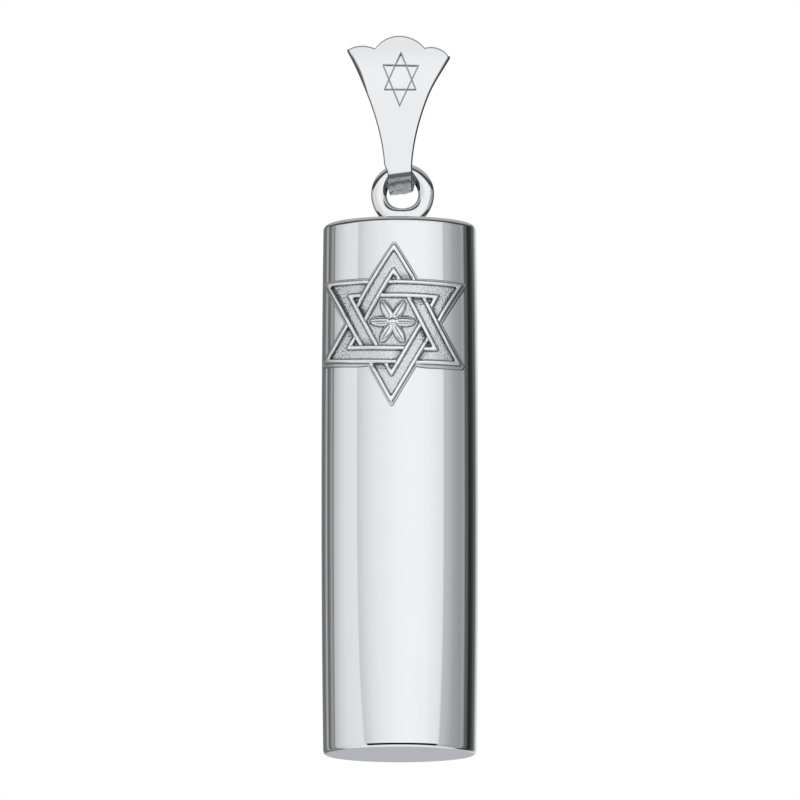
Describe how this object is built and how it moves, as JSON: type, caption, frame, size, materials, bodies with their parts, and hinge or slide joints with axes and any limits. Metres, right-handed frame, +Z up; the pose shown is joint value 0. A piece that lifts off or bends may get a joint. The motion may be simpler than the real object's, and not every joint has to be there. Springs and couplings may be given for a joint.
{
  "type": "mezuzah case",
  "caption": "Polished silver tube pendant with a raised interlaced star, a soldered ring, a folded bail for a chain, a pull-off base and a rolled parchment inside.",
  "frame": {"origin": "where a neck chain bears on the underside of the top of the bail's loop, on the case's axis", "axes": "+Z up along the case's axis, -Y towards the star, X along the chain's way through the bail"},
  "size_m": [0.0094, 0.01, 0.0445],
  "materials": {
    "polished_silver": "polished sterling silver",
    "solder": "silver solder, softly polished",
    "oxidised_silver": "sterling silver, bright on its raised lines and stippled and darkened between them",
    "parchment": "dry, slightly mottled parchment",
    "thread": "undyed twisted thread"
  },
  "bodies": {
    "bail": {"bail": "polished_silver"},
    "case": {"hanging_ring": "polished_silver", "ring_solder": "solder", "top_cap": "polished_silver", "case_tube": "polished_silver", "star_emblem": "oxidised_silver"},
    "base": {"base_disc": "polished_silver", "friction_sleeve": "polished_silver"},
    "scroll": {"scroll": "parchment", "scroll_thread": "thread"}
  },
  "joints": [
    {"name": "case_swing", "type": "hinge", "parent": "bail", "child": "case", "pos_m": [0, 0, -0.0068], "axis": [1, 0, 0], "range_deg": [-90, 90]},
    {"name": "cap_pull", "type": "slide", "parent": "case", "child": "base", "axis": [0, 0, -1], "range_m": [0, 0.032]},
    {"name": "scroll_drop", "type": "slide", "parent": "case", "child": "scroll", "axis": [0, 0, -1], "range_m": [0, 0.032]}
  ],
  "couplings": [
    {"joint": "scroll_drop", "follows": "cap_pull", "ratio": 1}
  ]
}
